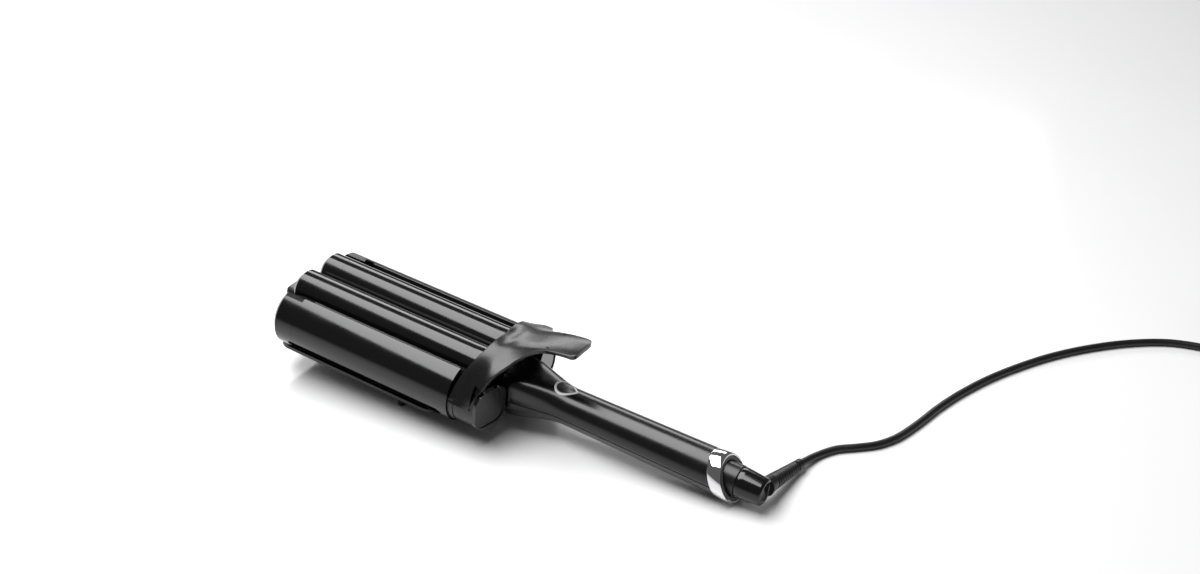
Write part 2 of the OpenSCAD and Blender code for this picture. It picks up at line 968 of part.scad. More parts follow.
// Places for the screws that close the handle, at the seats of their heads
module at_handle_screws() {
    for (s = handle_screw_s)
        translate([-s, 0, -grip_radius(s) + 2]) children();
}

module upper_handle_shell() {
    color([0.05, 0.05, 0.06])
    at_rest()
    difference() {
        union() {
            intersection() {
                handle_body();
                translate([-big / 2, -50, seam_z + fit / 2]) cube([big, 100, 60]);
            }
            for (s = handle_screw_s)
                translate([-s, 0, seam_z + fit / 2]) cylinder(h = cavity_r - seam_z + 0.5, r = handle_boss_r);
        }
        upright(5.5, 40) teardrop(ring_out + fit);
        at_handle_screws() cylinder(h = handle_screw_len + 1, r = screw_r + fit);
    }
}

module lower_handle_shell() {
    color([0.05, 0.05, 0.06])
    at_rest()
    difference() {
        union() {
            intersection() {
                handle_body();
                translate([-big / 2, -50, seam_z - 60 - fit / 2]) cube([big, 100, 60]);
            }
            for (s = board_ribs)
                along(s - rib_w / 2, s + rib_w / 2)
                    intersection() {
                        circle(cavity_r + 0.5);
                        translate([-20, -20]) square([40, 20 + board_z - board_t - fit]);
                    }
            for (s = handle_screw_s)
                translate([-s, 0, -cavity_r - 0.5]) cylinder(h = cavity_r + 0.5 + seam_z - fit / 2, r = handle_boss_r);
        }
        at_handle_screws() {
            translate([0, 0, -10]) cylinder(h = 10, r = screw_head_r + 0.3);
            translate([0, 0, -1]) cylinder(h = handle_screw_len + 1, r = screw_r + fit);
        }
    }
}

module handle_screws() {
    color([0.35, 0.35, 0.37])
    at_rest() at_handle_screws()
        translate([0, 0, -1.2 - fit / 2]) screw(handle_screw_len, screw_r, screw_head_r, 1.2);
}

// ---------------------------------------------------------------- power button

ring_out = 7;
ring_w = 1.3;
point_len = 10.5;
button_travel = 0.8;

// A drop-shaped outline whose point lies towards the cord
module teardrop(r) {
    k = asin(ring_out / point_len);
    translate([button_s, 0])
        polygon(concat(
            [[-point_len * r / ring_out, 0]],
            [for (i = [0:30]) let (a = (90 + k) * (1 - i / 15)) [r * cos(a), r * sin(a)]]
        ));
}

button_z = grip_radius(button_s);

module button_ring() {
    color([0.95, 0.95, 0.96])
    at_rest()
    difference() {
        intersection() {
            upright(button_z - 4, button_z + 4) teardrop(ring_out);
            rod(button_s - 20, button_s + 20, button_z + 0.6, $fn = 96);
        }
        upright(button_z - 5, button_z + 5) teardrop(ring_out - ring_w);
    }
}

switch_top = 3.4;

module power_button() {
    color([0.08, 0.08, 0.09])
    at_rest() {
        intersection() {
            upright(button_z - 4, button_z + 4) teardrop(ring_out - ring_w - 0.25);
            rod(button_s - 20, button_s + 20, button_z + 0.9, $fn = 96);
        }
        translate([-button_s, 0, switch_top + button_travel + 0.15])
            cylinder(h = button_z - 4 - switch_top - button_travel - 0.15 + 0.5, r = 2);
    }
}

// ---------------------------------------------------------------- electronics

board_t = 1.6;
board_half = 8.5;
board_s0 = 40;
board_s1 = 138;
board_ribs = [board_s0 + 6, 72, 90, board_s1 - 8];

module control_board() {
    color([0.1, 0.35, 0.2])
    at_rest()
    upright(board_z - board_t, board_z)
        translate([board_s0, -board_half]) square([board_s1 - board_s0, 2 * board_half]);
}

module push_switch() {
    color([0.2, 0.2, 0.22])
    at_rest()
    translate([-button_s, 0, board_z + fit / 2]) {
        translate([-3, -3, 0]) cube([6, 6, 4]);
        cylinder(h = switch_top - board_z, r = 1.7);
    }
}

// A capacitor, a choke and a switching part on the board
module board_components() {
    z = board_z + fit / 2;
    color([0.25, 0.22, 0.2])
    at_rest() {
        translate([-60, 0, z + 4.5]) rotate([0, 90, 0]) cylinder(h = 14, r = 4.5);
        translate([-84, -6, z]) cube([12, 12, 7]);
        translate([-104, -5, z]) cube([10, 10, 6]);
    }
}

// ---------------------------------------------------------------- collar and swivel

module end_collar() {
    color([0.86, 0.86, 0.88])
    at_rest()
    difference() {
        rod(-20, 30, collar_r, $fn = 128);
        behind_oblique(collar_rear);
        mirror([1, 0, 0]) mirror([0, 0, 1]) behind_oblique(-collar_front);
        rod(-30, 40, bush_r + fit);
    }
}

bush_r = 13;
bush_inset = 0.4;
shaft_front = 16;
flange_t = 2;
flange_r = shaft_r + 1.2;

module collar_bush() {
    color([0.32, 0.32, 0.33])
    at_rest()
    difference() {
        rod(-20, shaft_front - flange_t - 0.3, bush_r);
        behind_oblique(collar_rear + bush_inset);
        rod(-30, 40, shaft_r + shaft_play);
        translate([0, 0, 0]) bush_nose_cut();
    }
}

// Trims the bush to the oblique face of the handle
module bush_nose_cut() {
    mirror([1, 0, 0]) mirror([0, 0, 1]) behind_oblique(-collar_front + 0.2);
}

shaft_rear = -9;

module swivel_shaft() {
    color([0.06, 0.06, 0.07])
    at_rest()
    difference() {
        union() {
            rod(shaft_rear, shaft_front, shaft_r);
            rod(shaft_front - flange_t, shaft_front, flange_r);
        }
        rod(shaft_rear - 1, shaft_front + 1, 4);
    }
}

housing_r = 11;
housing_chamfer = 3;
relief_x = 17;
relief_yaw = 5;
relief_drop = 10;
relief_start = 9;
relief_base_r = 5.6;
relief_tip_r = 3.4;
relief_ribs = 9;

// Turns to the line on which the strain relief leaves the housing: +Y, a little down
module at_relief() {
    translate([relief_x, 0, 0]) rotate([0, 0, -relief_yaw]) rotate([-90 - relief_drop, 0, 0])
        children();
}

module swivel_housing() {
    color([0.06, 0.06, 0.07])
    at_rest()
    difference() {
        union() {
            rod(swivel_end + housing_chamfer, shaft_rear - fit, housing_r);
            translate([-swivel_end - housing_chamfer, 0, 0]) rotate([0, 90, 0])
                cylinder(h = housing_chamfer, r1 = housing_r, r2 = housing_r - 2.5);
            at_relief() cylinder(h = relief_start + 3.4, r = relief_base_r + 1.6);
        }
        at_relief() translate([0, 0, relief_start]) cylinder(h = 10, r = relief_base_r + fit / 2);
    }
}

rib_pitch = (relief_len - 5) / relief_ribs;

function relief_radius(k) = mix(relief_base_r, relief_tip_r, k);

// A tapered sleeve with cut ribs, bored for the cord
module strain_relief() {
    rib_outline = [
        for (i = [0:relief_ribs - 1])
            let (
                z = 3.6 + i * rib_pitch,
                r = relief_radius(z / relief_len)
            )
            each [[r, z], [r - 0.9, z + 0.3], [r - 0.9, z + rib_pitch * 0.42], [r, z + rib_pitch * 0.5]]
    ];
    color([0.04, 0.04, 0.04])
    at_rest()
    at_relief()
    translate([0, 0, relief_start + fit])
    difference() {
        rotate_extrude($fn = 48)
            polygon(concat(
                [[0, 0], [relief_base_r, 0]],
                rib_outline,
                [[relief_tip_r, relief_len - 0.6], [relief_tip_r - 0.4, relief_len], [0, relief_len]]
            ));
        translate([0, 0, relief_len - cord_d]) cylinder(h = cord_d + 1, r = cord_d / 2 + 0.05);
    }
}

// ---------------------------------------------------------------- cord

cord_sides = 8;
relief_line = relief_start + fit + relief_len;

// A point on the strain relief's line, in the resting attitude
function relief_point(t) =
    let (
        x = relief_x + t * cos(relief_drop) * sin(relief_yaw),
        y = t * cos(relief_drop) * cos(relief_yaw),
        z = -t * sin(relief_drop)
    )
    [x * cos(rest_pitch) + z * sin(rest_pitch), y,
        -x * sin(rest_pitch) + z * cos(rest_pitch) + axis_z];

lie = cord_d / 2 + 0.05;
// Hand-chosen route of the cord over the surface, from the strain relief to the coil
cord_route = [
    [22, 55, 4.2], [25.5, 68, lie], [32, 79, lie], [42, 88, lie], [52, 98, lie],
    [59, 111, lie], [63, 126, lie], [66, 142, lie], [69, 160, lie], [75, 184, lie],
    [84, 210, lie], [96, 236, lie], [111, 262, lie], [130, 287, lie], [152, 309, lie],
    [176, 325, lie], [204, 332, 3]
];

coil_x = 228;
coil_y = 370;
coil_pitch = cord_d + 0.6;
coil_layers = 4;
layer_turns = 3;
coil_rings = 24;
coil_base = cord_d / 2 + 0.9;
coil_out = coil_d / 2 + layer_turns * coil_pitch / 2;
coil_start = -93;
coil_turns = coil_layers * layer_turns;

// Distance of the coil's line from its middle after t turns: in and out at a steady rate
function coil_radius(t) =
    let (q = t / layer_turns, k = q - 2 * floor(q / 2))
    coil_out - layer_turns * coil_pitch * (k <= 1 ? k : 2 - k);

// Height of the line: level in a layer, and a climb in the half turn around each reversal
function coil_height(t) =
    let (
        layer = round(t / layer_turns),
        near = t - layer * layer_turns,
        climbs = layer > 0 && layer < coil_layers,
        k = min(1, max(0, near * 2 + 0.5)),
        done = layer < 1 ? 0 : layer - 1
    )
    coil_base + coil_pitch * (climbs ? done + k : min(done, coil_layers - 1));

function coil_point(t) =
    let (a = coil_start + 360 * t, r = coil_radius(t))
    [coil_x + r * cos(a), coil_y + r * sin(a), coil_height(t)];

coil_line = [for (i = [0:coil_turns * coil_rings]) coil_point(i / coil_rings)];
coil_in_dir = unit([-sin(coil_start), cos(coil_start), 0]);
coil_out_dir = coil_in_dir;
coil_first = coil_line[0] - cord_d * coil_in_dir;
coil_last = coil_line[len(coil_line) - 1] + cord_d * coil_out_dir;

module cord_coil() {
    color([0.04, 0.04, 0.04])
    from_collar() tube(concat([coil_first], coil_line, [coil_last]), cord_d / 2, 6);
}

// Least distance between two stretches of the coil that are at least half a turn apart
coil_gap = min([
    for (i = [0:2:len(coil_line) - 1], j = [i + coil_rings / 2:1:min(len(coil_line) - 1, i + 4 * layer_turns * coil_rings)])
        norm(coil_line[i] - coil_line[j])
]) - cord_d;
echo(coil_self_gap = coil_gap);

// A smooth curve through a list of points
function curve_point(p, i, k) =
    let (
        a = p[max(i - 1, 0)],
        b = p[i],
        c = p[i + 1],
        d = p[min(i + 2, len(p) - 1)]
    )
    0.5 * ((2 * b) + (c - a) * k + (2 * a - 5 * b + 4 * c - d) * k * k
        + (3 * b - a - 3 * c + d) * k * k * k);

function curve(p, steps) = concat(
    [for (i = [0:len(p) - 2], k = [0:steps - 1]) curve_point(p, i, k / steps)],
    [p[len(p) - 1]]
);

function path_length(p) =
    len(p) < 2 ? 0 : [for (i = [0:len(p) - 2]) norm(p[i + 1] - p[i])] * [for (i = [0:len(p) - 2]) 1];

cord_path = concat(
    [relief_point(relief_line - cord_d + 0.1)],
    curve(concat([relief_point(relief_line + 2)], cord_route, [coil_first - 8 * coil_in_dir]), 3),
    [coil_first]
);

module mains_cord() {
    color([0.04, 0.04, 0.04])
    from_collar() tube(cord_path, cord_d / 2, cord_sides);
}

plug_at = [316, 348, 6.55];
tail_route = [
    [246, 329.6, 20.2], [262, 331.5, 16.5], [276, 335.2, 11.5], [290, 340, 7.6]
];
plug_dir = unit([0.93, 0.36, 0]);

tail_path = concat(
    [coil_last],
    curve(concat([coil_last + 6 * coil_out_dir], tail_route, [plug_at - 8 * plug_dir]), 3),
    [plug_at]
);

module cord_tail() {
    color([0.04, 0.04, 0.04])
    from_collar() tube(tail_path, cord_d / 2, cord_sides);
}

echo(cord_length = path_length(cord_path) + path_length(coil_line) + path_length(tail_path));

tie_t = 0.7;
tie_w = 9;
tie_gap = 0.15;

// A strap closed around one side of the coil
module cord_tie() {
    in = coil_d / 2 - layer_turns * coil_pitch / 2 - cord_d / 2 - tie_gap;
    out = coil_out + cord_d / 2 + tie_gap;
    low = coil_base - cord_d / 2 - tie_gap;
    high = coil_base + (coil_layers - 1) * coil_pitch + cord_d / 2 + tie_gap;
    color([0.05, 0.05, 0.05])
    from_collar() translate([coil_x, coil_y, 0]) rotate([0, 0, 90]) translate([0, tie_w / 2, 0])
        rotate([90, 0, 0])
            linear_extrude(tie_w)
                difference() {
                    round_rect([in - tie_t, low - tie_t], [out + tie_t, high + tie_t], 2.2);
                    round_rect([in, low], [out, high], 1.5);
                }
}

// ---------------------------------------------------------------- plug

plug_len = 34;
plug_w = 13.8;
plug_back_w = 9.5;
plug_t = 13;
pin_r = 2;
pin_span = 18.6;
pin_len = 19;

module at_plug() {
    from_collar() translate(plug_at) rotate([0, 0, atan2(plug_dir[1], plug_dir[0])]) children();
}

// A slim two-pin plug, wide at its face and waisted at the grip
module mains_plug() {
    color([0.05, 0.05, 0.05])
    at_plug()
    difference() {
        intersection() {
            translate([0, 0, -plug_t / 2])
                linear_extrude(plug_t)
                    polygon([
                        [0, -3.5], [8, -5], [16, -6.5], [22, -9], [27, -13.6], [plug_len, -13.6],
                        [plug_len, 13.6], [27, 13.6], [22, 9], [16, 6.5], [8, 5], [0, 3.5]
                    ]);
            rotate([90, 0, 90])
                linear_extrude(plug_len)
                    round_rect([-13.6, -plug_t / 2], [13.6, plug_t / 2], 5);
        }
        for (m = [-1, 1])
            translate([plug_len - 8, m * pin_span / 2, 0]) rotate([0, 90, 0])
                cylinder(h = 20, r = pin_r);
    }
}

module plug_pins() {
    color([0.75, 0.75, 0.76])
    at_plug()
    for (m = [-1, 1])
        translate([plug_len - 8, m * pin_span / 2, 0]) rotate([0, 90, 0]) {
            cylinder(h = pin_len + 6.5, r = pin_r);
            translate([0, 0, pin_len + 6.5]) cylinder(h = 1.5, r1 = pin_r, r2 = pin_r - 0.8);
        }
}

// ---------------------------------------------------------------- drawing

lower_casing();
lower_tip_cap();
bottom_cover();
cover_screws();
rest_feet();
lower_hot_plate();
lower_heaters();
heater_carrier();
hinge_yoke();
near_end_cap();
far_end_cap();
hinge_pins();
hinge_springs();
upper_casing();
upper_tip_cap();
upper_hot_plate();
upper_heaters();
jaw_carrier();
thumb_lever();
lever_screws();
upper_handle_shell();
lower_handle_shell();
handle_screws();
power_button();
button_ring();
push_switch();
control_board();
board_components();
end_collar();
collar_bush();
swivel_shaft();
swivel_housing();
strain_relief();
mains_cord();
cord_coil();
cord_tail();
cord_tie();
mains_plug();
plug_pins();
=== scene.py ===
import math

import bmesh
import bpy
from mathutils import Matrix, Vector


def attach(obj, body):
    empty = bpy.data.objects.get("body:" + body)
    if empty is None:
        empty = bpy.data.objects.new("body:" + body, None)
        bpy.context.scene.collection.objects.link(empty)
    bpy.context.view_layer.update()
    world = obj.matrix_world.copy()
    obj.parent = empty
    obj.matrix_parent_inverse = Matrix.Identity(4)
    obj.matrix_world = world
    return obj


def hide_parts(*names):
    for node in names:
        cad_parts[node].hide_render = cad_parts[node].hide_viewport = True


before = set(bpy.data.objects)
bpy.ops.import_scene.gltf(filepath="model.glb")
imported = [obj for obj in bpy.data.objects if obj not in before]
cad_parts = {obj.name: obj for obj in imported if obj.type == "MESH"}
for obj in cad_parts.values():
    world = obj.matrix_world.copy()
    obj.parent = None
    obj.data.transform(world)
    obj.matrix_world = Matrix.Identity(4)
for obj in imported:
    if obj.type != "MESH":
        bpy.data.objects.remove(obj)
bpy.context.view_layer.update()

# ------------------------------------------------------------------ the part's own frame
# Sizes of the CAD source, in millimetres. Stations run from the collar to the tip.
MM = 0.001
PITCH = math.radians(4.67)
COS_P, SIN_P = math.cos(PITCH), math.sin(PITCH)
MID_X = (343 * COS_P + 10.6 * SIN_P - 25) / 2
AXIS_Z = 14.6 * COS_P + (14.6 * math.tan(math.radians(26.6)) - 1.2) * SIN_P


def floor_point(x, y, z):
    """A point measured from the floor under the collar, in the row frame."""
    return Vector(((x + MID_X) * MM, y * MM, z * MM))


def at_rest(s, y, z):
    """A point at a station, side distance and height over the handle's axis."""
    return floor_point(-s * COS_P + z * SIN_P, y, AXIS_Z + s * SIN_P + z * COS_P)


# ------------------------------------------------------------------ camera
def make_camera():
    data = bpy.data.cameras.new("camera")
    data.lens = 52.5
    data.sensor_width = 36
    data.sensor_fit = "HORIZONTAL"
    data.clip_start = 0.01
    data.clip_end = 50
    cam = bpy.data.objects.new("camera", data)
    bpy.context.scene.collection.objects.link(cam)
    ahead = Vector((-0.4511, 0.7364, -0.5042)).normalized()
    right = Vector((0.8527, 0.5224, 0.0)).normalized()
    up = right.cross(ahead).normalized()
    roll = math.radians(0.779)
    side = math.cos(roll) * right + math.sin(roll) * up
    top = side.cross(ahead).normalized()
    turn = Matrix((side, top, -ahead)).transposed().to_4x4()
    turn.translation = floor_point(379.87, -781.00, 654.51)
    cam.matrix_world = turn
    bpy.context.scene.camera = cam


make_camera()


# ------------------------------------------------------------------ cord route
CORD_D = 5.0
RELIEF_X, RELIEF_YAW, RELIEF_DROP = 17, math.radians(5), math.radians(10)
RELIEF_START, RELIEF_LEN = 9.1, 32
LIE = CORD_D / 2 + 0.05
ROUTE = [
    (22, 55, 4.2), (25.5, 68, LIE), (32, 79, LIE), (42, 88, LIE), (52, 98, LIE),
    (59, 111, LIE), (63, 126, LIE), (66, 142, LIE), (69, 160, LIE), (75, 184, LIE),
    (84, 210, LIE), (96, 236, LIE), (111, 262, LIE), (130, 287, LIE), (152, 309, LIE),
    (176, 325, LIE), (204, 332, 3),
]
COIL_X, COIL_Y = 228, 370
COIL_PITCH = CORD_D + 0.6
COIL_LAYERS, LAYER_TURNS = 4, 3
COIL_BASE = CORD_D / 2 + 0.9
COIL_OUT = 58 / 2 + LAYER_TURNS * COIL_PITCH / 2
COIL_START = math.radians(-93)
PLUG_AT = Vector((316, 348, 6.55))
PLUG_DIR = Vector((0.93, 0.36, 0)).normalized()
TAIL = [(246, 329.6, 20.2), (262, 331.5, 16.5), (276, 335.2, 11.5), (290, 340, 7.6)]


def relief_point(t):
    """A point on the strain relief's line, from the floor under the collar."""
    x = RELIEF_X + t * math.cos(RELIEF_DROP) * math.sin(RELIEF_YAW)
    y = t * math.cos(RELIEF_DROP) * math.cos(RELIEF_YAW)
    z = -t * math.sin(RELIEF_DROP)
    return Vector((x * COS_P + z * SIN_P, y, -x * SIN_P + z * COS_P + AXIS_Z))


def curve(points, steps):
    """A smooth line through the points."""
    out = []
    n = len(points)
    for i in range(n - 1):
        a, b = points[max(i - 1, 0)], points[i]
        c, d = points[i + 1], points[min(i + 2, n - 1)]
        for j in range(steps):
            k = j / steps
            out.append(0.5 * ((2 * b) + (c - a) * k + (2 * a - 5 * b + 4 * c - d) * k * k
                              + (3 * b - a - 3 * c + d) * k * k * k))
    out.append(points[-1])
    return out


def coil_point(t):
    """A point of the coil's middle line after t turns."""
    q = t / LAYER_TURNS
    k = q - 2 * math.floor(q / 2)
    r = COIL_OUT - LAYER_TURNS * COIL_PITCH * (k if k <= 1 else 2 - k)
    layer = math.floor(q + 0.5)
    near = t - layer * LAYER_TURNS
    done = 0 if layer < 1 else layer - 1
    if 0 < layer < COIL_LAYERS:
        climb = done + min(1, max(0, near * 2 + 0.5))
    else:
        climb = min(done, COIL_LAYERS - 1)
    a = COIL_START + 2 * math.pi * t
    return Vector((COIL_X + r * math.cos(a), COIL_Y + r * math.sin(a),
                   COIL_BASE + COIL_PITCH * climb))


def cord_line():
    """The cord's whole line: free stretch, coil and tail."""
    along = Vector((-math.sin(COIL_START), math.cos(COIL_START), 0))
    turns = [coil_point(i / 36) for i in range(36 * COIL_LAYERS * LAYER_TURNS + 1)]
    first, last = turns[0] - CORD_D * along, turns[-1] + CORD_D * along
    tip = relief_point(RELIEF_START + RELIEF_LEN + 2)
    free = curve([tip, *[Vector(p) for p in ROUTE], first - 8 * along], 6)
    tail = curve([last + 6 * along, *[Vector(p) for p in TAIL], PLUG_AT - 8 * PLUG_DIR], 6)
    start = relief_point(RELIEF_START + RELIEF_LEN - CORD_D + 0.1)
    return [start, *free, first, *turns, last, *tail, PLUG_AT]


def link(obj):
    bpy.context.scene.collection.objects.link(obj)
    return obj


def make_cord(points):
    data = bpy.data.curves.new("flex", "CURVE")
    data.dimensions = "3D"
    data.bevel_depth = 1  # the points' radius is the cord's
    data.bevel_resolution = 5
    spline = data.splines.new("POLY")
    spline.points.add(len(points) - 1)
    for p, q in zip(spline.points, points):
        p.co = (*floor_point(*q), 1)
        p.radius = CORD_D / 2 * MM
    return link(bpy.data.objects.new("flex", data))


line = cord_line()
flex = make_cord(line)
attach(flex, "swivel")
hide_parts("mains_cord", "cord_coil", "cord_tail")


# ------------------------------------------------------------------ materials
def material(name):
    mat = bpy.data.materials.new(name)
    mat.use_nodes = True
    tree = mat.node_tree
    return mat, tree, tree.nodes["Principled BSDF"]


def add(tree, kind, **values):
    node = tree.nodes.new(kind)
    for key, value in values.items():
        if hasattr(node, key):
            setattr(node, key, value)
        else:
            node.inputs[key].default_value = value
    return node


def noise(tree, scale, detail=3.0, rough=0.55, stretch=(1, 1, 1)):
    coords = add(tree, "ShaderNodeTexCoord")
    place = add(tree, "ShaderNodeMapping")
    place.inputs["Scale"].default_value = stretch
    tree.links.new(coords.outputs["Object"], place.inputs["Vector"])
    tex = add(tree, "ShaderNodeTexNoise")
    tex.inputs["Scale"].default_value = scale
    tex.inputs["Detail"].default_value = detail
    tex.inputs["Roughness"].default_value = rough
    tree.links.new(place.outputs["Vector"], tex.inputs["Vector"])
    return tex.outputs["Fac"]


def spread(tree, fac, low, high):
    node = add(tree, "ShaderNodeMapRange")
    node.inputs["From Min"].default_value = 0.3
    node.inputs["From Max"].default_value = 0.7
    node.inputs["To Min"].default_value = low
    node.inputs["To Max"].default_value = high
    tree.links.new(fac, node.inputs["Value"])
    return node.outputs["Result"]


def ramp(tree, fac, colours):
    node = add(tree, "ShaderNodeValToRGB")
    items = node.color_ramp.elements
    items[0].position, items[1].position = 0.3, 0.7
    items[0].color = (*colours[0], 1)
    items[1].color = (*colours[-1], 1)
    tree.links.new(fac, node.inputs["Fac"])
    return node.outputs["Color"]


def bump(tree, shader, fac, strength, distance):
    node = add(tree, "ShaderNodeBump")
    node.inputs["Strength"].default_value = strength
    node.inputs["Distance"].default_value = distance
    tree.links.new(fac, node.inputs["Height"])
    tree.links.new(node.outputs["Normal"], shader.inputs["Normal"])


def moulding(name, low, high, rough, grain, spec=0.5, scale=900):
    """A moulded or coated surface: fine grain, uneven gloss and a slightly uneven colour."""
    mat, tree, shader = material(name)
    tree.links.new(ramp(tree, noise(tree, 22, 4), (low, high)), shader.inputs["Base Color"])
    uneven = spread(tree, noise(tree, 60, 4, 0.6), *rough)
    tree.links.new(uneven, shader.inputs["Roughness"])
    shader.inputs["Specular IOR Level"].default_value = spec
    bump(tree, shader, noise(tree, scale, 2, 0.5), grain, 0.0001)
    return mat


def metal(name, colour, rough, brushed, stretch=(1, 1, 1)):
    """A metal, brushed along the axis that stretch names."""
    mat, tree, shader = material(name)
    dim = tuple(c * 0.9 for c in colour)
    tree.links.new(ramp(tree, noise(tree, 30, 3), (dim, colour)), shader.inputs["Base Color"])
    shader.inputs["Metallic"].default_value = 1.0
    uneven = spread(tree, noise(tree, 400, 3, 0.5, stretch), *rough)
    tree.links.new(uneven, shader.inputs["Roughness"])
    bump(tree, shader, noise(tree, 400, 2, 0.5, stretch), brushed, 0.00005)
    return mat


gloss = moulding("gloss_black", (0.003, 0.003, 0.0033),
                 (0.0045, 0.0045, 0.005), (0.11, 0.16), 0.03, spec=0.5)
satin = moulding("satin_black", (0.004, 0.004, 0.0043),
                 (0.0065, 0.0065, 0.007), (0.27, 0.34), 0.14, spec=0.45)
lever_finish = moulding("lever_black", (0.004, 0.004, 0.0045),
                        (0.006, 0.006, 0.0065), (0.24, 0.3), 0.1, spec=0.5)
handle_finish = moulding("handle_black", (0.003, 0.003, 0.0033),
                         (0.005, 0.005, 0.0055), (0.2, 0.26), 0.07, spec=0.5)
coating = moulding("plate_coating", (0.008, 0.008, 0.0085),
                   (0.014, 0.0135, 0.014), (0.26, 0.34), 0.15, spec=0.5, scale=1500)
rubber = moulding("cord_rubber", (0.006, 0.006, 0.006),
                  (0.011, 0.011, 0.011), (0.33, 0.44), 0.25, spec=0.45)
foot = moulding("foot_rubber", (0.01, 0.01, 0.01),
                (0.018, 0.018, 0.018), (0.6, 0.75), 0.4, spec=0.3)
grey = moulding("grey_plastic", (0.13, 0.13, 0.135), (0.17, 0.17, 0.175), (0.32, 0.42), 0.2)
white = moulding("white_ring", (0.84, 0.84, 0.85), (0.9, 0.9, 0.9), (0.16, 0.24), 0.05)
ceramic = moulding("heat_resistant_plastic", (0.6, 0.57, 0.49), (0.7, 0.67, 0.59), (0.5, 0.65), 0.3)
laminate = moulding("board_laminate", (0.02, 0.12, 0.05), (0.04, 0.18, 0.08), (0.3, 0.4), 0.2)
component = moulding("component_body", (0.05, 0.045, 0.04), (0.11, 0.1, 0.09), (0.4, 0.5), 0.2)
chrome = metal("collar_metal", (0.82, 0.82, 0.83), (0.04, 0.09), 0.02)
steel = metal("screw_steel", (0.5, 0.5, 0.52), (0.25, 0.36), 0.2)
pin_steel = metal("pin_steel", (0.62, 0.62, 0.64), (0.2, 0.3), 0.15, stretch=(1, 30, 1))
nickel = metal("pin_nickel", (0.72, 0.7, 0.65), (0.12, 0.2), 0.1)
alloy = metal("heater_alloy", (0.7, 0.69, 0.66), (0.3, 0.42), 0.3, stretch=(30, 1, 1))


def woven(name):
    """Fine woven tape: threads that cross, seen in colour and bump."""
    mat, tree, shader = material(name)
    coords = add(tree, "ShaderNodeTexCoord")
    waves = []
    for turn in ("X", "Z"):
        wave = add(tree, "ShaderNodeTexWave", bands_direction=turn)
        wave.inputs["Scale"].default_value = 700
        wave.inputs["Distortion"].default_value = 0.3
        tree.links.new(coords.outputs["Object"], wave.inputs["Vector"])
        waves.append(wave.outputs["Fac"])
    mix = add(tree, "ShaderNodeMath", operation="MULTIPLY")
    tree.links.new(waves[0], mix.inputs[0])
    tree.links.new(waves[1], mix.inputs[1])
    threads = ramp(tree, mix.outputs["Value"], ((0.008, 0.008, 0.008), (0.02, 0.02, 0.02)))
    tree.links.new(threads, shader.inputs["Base Color"])
    shader.inputs["Roughness"].default_value = 0.8
    shader.inputs["Sheen Weight"].default_value = 0.2
    bump(tree, shader, mix.outputs["Value"], 0.6, 0.0002)
    return mat


tape = woven("tie_fabric")

NODE_LOOKS = {
    gloss: ["lower_casing", "lower_tip_cap", "upper_casing", "upper_tip_cap", "swivel_housing",
            "near_end_cap", "far_end_cap"],
    satin: ["bottom_cover", "hinge_yoke", "jaw_carrier", "push_switch", "swivel_shaft", "power_button"],
    lever_finish: ["thumb_lever"],
    handle_finish: ["upper_handle_shell", "lower_handle_shell"],
    coating: ["lower_hot_plate", "upper_hot_plate"],
    rubber: ["strain_relief", "mains_cord", "cord_coil", "cord_tail", "mains_plug"],
    foot: ["rest_feet"],
    grey: ["collar_bush"],
    white: ["button_ring"],
    ceramic: ["heater_carrier"],
    laminate: ["control_board"],
    component: ["board_components"],
    chrome: ["end_collar"],
    steel: ["cover_screws", "lever_screws", "handle_screws"],
    pin_steel: ["hinge_pins", "hinge_springs"],
    nickel: ["plug_pins"],
    alloy: ["lower_heaters", "upper_heaters"],
    tape: ["cord_tie"],
}
for look, names in NODE_LOOKS.items():
    for name in names:
        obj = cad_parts[name]
        if not obj.material_slots:
            obj.data.materials.append(look)
        for slot in obj.material_slots:
            slot.material = look
flex.data.materials.append(rubber)


# ------------------------------------------------------------------ pieces made here
MERGE = 1e-6


def mesh_object(name, corners, faces, merge=0.0, upward=False):
    """An object through corners in the row frame, with its faces turned one way."""
    data = bpy.data.meshes.new(name)
    data.from_pydata(corners, [], faces)
    mesh = bmesh.new()
    mesh.from_mesh(data)
    if merge:
        bmesh.ops.remove_doubles(mesh, verts=mesh.verts, dist=merge)
    bmesh.ops.recalc_face_normals(mesh, faces=mesh.faces)
    if upward and sum(f.normal.z * f.calc_area() for f in mesh.faces) < 0:
        bmesh.ops.reverse_faces(mesh, faces=mesh.faces)
    mesh.to_mesh(data)
    mesh.free()
    return link(bpy.data.objects.new(name, data))


def soften(obj, crease):
    """Smooth shading, with edges sharper than the crease angle kept."""
    obj.data.shade_smooth()
    obj.data.set_sharp_from_angle(angle=math.radians(crease))


def hand_over(obj, body, nodes):
    """Puts a piece on its body, in the place of the nodes it replaces."""
    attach(obj, body)
    if nodes:
        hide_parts(*nodes)


def sculpt(name, points, faces, body, nodes, look, slot, crease=38):
    """A closed piece through points given as station, side distance and height."""
    obj = mesh_object(name, [at_rest(*p) for p in points], faces, merge=MERGE)
    soften(obj, crease)
    obj.data.materials.append(look)
    hand_over(obj, body, nodes)
    return obj


def bake(obj):
    """Makes an object's modifiers part of its mesh."""
    bpy.context.view_layer.update()
    graph = bpy.context.evaluated_depsgraph_get()
    shaped = bpy.data.meshes.new_from_object(obj.evaluated_get(graph))
    obj.modifiers.clear()
    obj.data = shaped


def boolean(obj, other, kind):
    """Cuts an object with another, which is then removed."""
    cut = obj.modifiers.new("cut", "BOOLEAN")
    cut.operation, cut.solver, cut.object = kind, "EXACT", other
    bake(obj)
    bpy.data.objects.remove(other)


